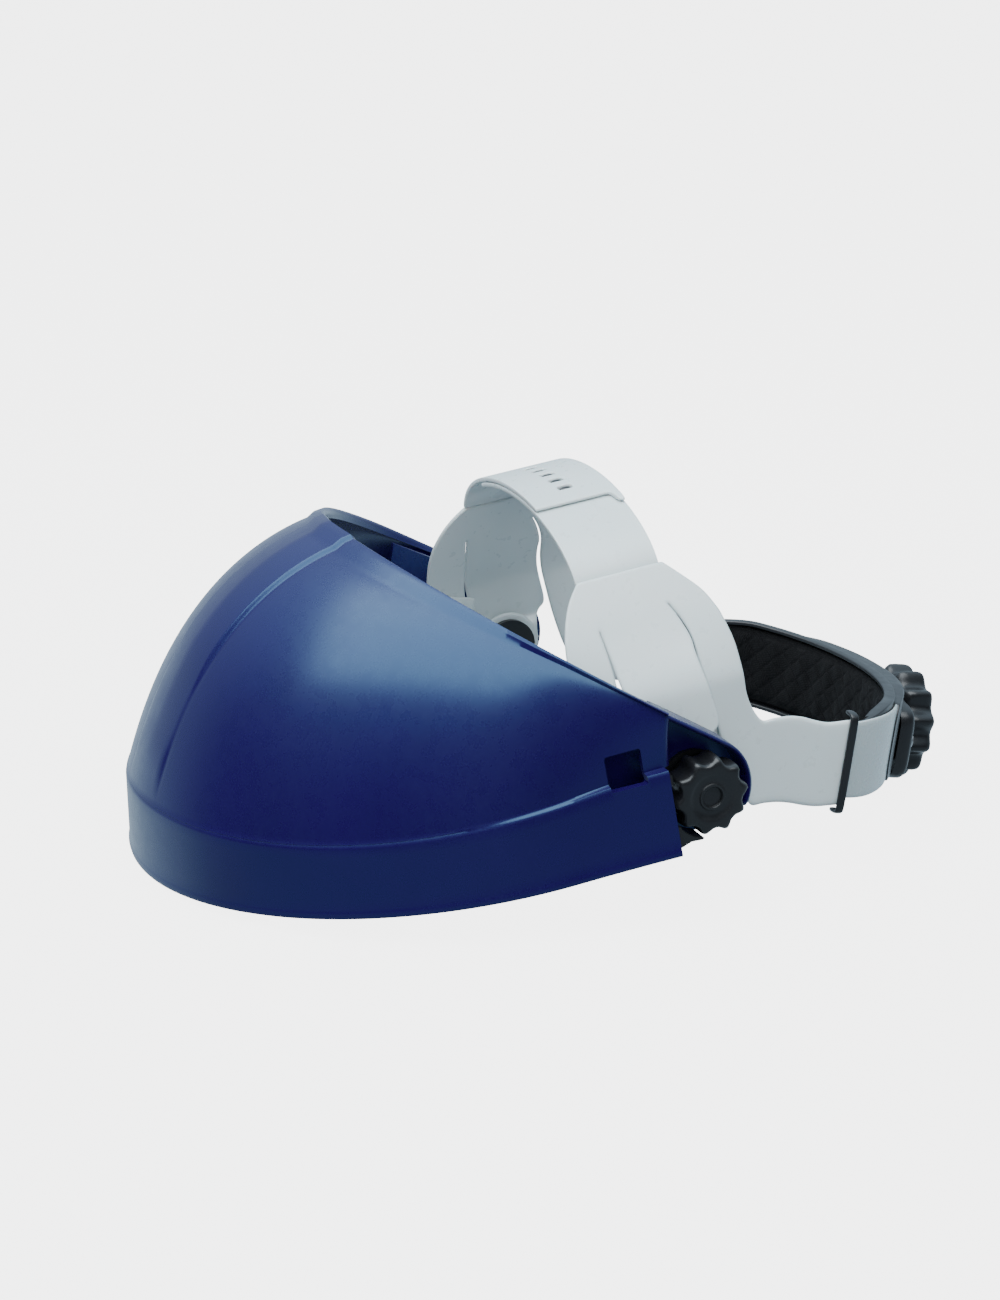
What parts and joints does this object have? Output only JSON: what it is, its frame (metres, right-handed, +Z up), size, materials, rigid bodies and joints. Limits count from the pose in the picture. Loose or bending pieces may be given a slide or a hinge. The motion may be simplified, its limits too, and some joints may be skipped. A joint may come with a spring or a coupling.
{
  "type": "face shield headgear",
  "caption": "Headgear for a face shield: a domed brow guard that tilts on side knobs, on a grey strap headband with an overhead strap and a rear ratchet knob.",
  "frame": {"origin": "centre of the bounding box on the bench, with the headgear standing on the crown's front edge and the rear knob", "axes": "+X to the wearer's left, -Y to the front of the crown, +Z up"},
  "size_m": [0.2218, 0.2917, 0.1247],
  "materials": {
    "crown_blue": "semi-gloss moulded royal blue",
    "grey_strap": "satin moulded light grey",
    "black_plastic": "satin moulded black",
    "sweat_foam": "brushed knit over foam",
    "quilted_pad": "quilted, slightly sheened",
    "steel": "plain",
    "gear_plastic": "natural acetal"
  },
  "bodies": {
    "headband": {"left_stud": "black_plastic", "right_stud": "black_plastic", "left_spacer": "black_plastic", "right_spacer": "black_plastic", "left_temple_plate": "grey_strap", "right_temple_plate": "grey_strap", "brow_band": "grey_strap", "brow_pad": "sweat_foam", "lower_crown_strap": "grey_strap", "left_side_strap": "grey_strap", "right_side_strap": "grey_strap"},
    "crown": {"crown_shell": "crown_blue", "left_ear": "crown_blue", "right_ear": "crown_blue", "left_pivot_arm": "black_plastic", "right_pivot_arm": "black_plastic", "left_washer": "steel", "right_washer": "steel"},
    "left_knob": {"left_tension_knob": "black_plastic"},
    "right_knob": {"right_tension_knob": "black_plastic"},
    "crown_strap": {"upper_crown_strap": "grey_strap"},
    "rear_unit": {"left_strap_tail": "grey_strap", "right_strap_tail": "grey_strap", "left_loop": "black_plastic", "right_loop": "black_plastic", "ratchet_base": "black_plastic", "ratchet_cover": "black_plastic", "rear_pad": "quilted_pad", "knob_axle": "steel", "cover_screws": "steel", "detent_spring": "steel"},
    "knob": {"ratchet_knob": "black_plastic", "drive_pinion": "gear_plastic"},
    "rack_left": {"left_rack": "gear_plastic"},
    "rack_right": {"right_rack": "gear_plastic"}
  },
  "joints": [
    {"name": "crown_tilt", "type": "hinge", "parent": "headband", "child": "crown", "pos_m": [0, 0.01509, 0.04045], "axis": [-1, 0, 0], "range_deg": [0, 78]},
    {"name": "left_knob_turn", "type": "hinge", "parent": "headband", "child": "left_knob", "pos_m": [0.095, 0.01509, 0.04045], "axis": [1, 0, 0], "range_deg": [0, 270]},
    {"name": "right_knob_turn", "type": "hinge", "parent": "headband", "child": "right_knob", "pos_m": [-0.095, 0.01509, 0.04045], "axis": [-1, 0, 0], "range_deg": [0, 270]},
    {"name": "crown_strap_open", "type": "hinge", "parent": "headband", "child": "crown_strap", "pos_m": [-0.0516, 0.00556, 0.10273], "axis": [0, -0.9885, -0.1513], "range_deg": [0, 40]},
    {"name": "rear_slide", "type": "slide", "parent": "headband", "child": "rear_unit", "axis": [0, -0.9895, 0.1443], "range_m": [-0.004, 0.014]},
    {"name": "knob_turn", "type": "hinge", "parent": "rear_unit", "child": "knob", "pos_m": [0, 0.13269, 0.02095], "axis": [0, -0.9895, 0.1443], "range_deg": [-33, 115]},
    {"name": "left_rack_slide", "type": "slide", "parent": "rear_unit", "child": "rack_left", "axis": [-1, 0, 0], "range_m": [-0.0041, 0.0141]},
    {"name": "right_rack_slide", "type": "slide", "parent": "rear_unit", "child": "rack_right", "axis": [1, 0, 0], "range_m": [-0.0041, 0.0141]}
  ],
  "couplings": [
    {"joint": "knob_turn", "follows": "rear_slide", "rad_per_m": 142.86},
    {"joint": "left_rack_slide", "follows": "rear_slide", "ratio": 1},
    {"joint": "right_rack_slide", "follows": "rear_slide", "ratio": 1}
  ]
}
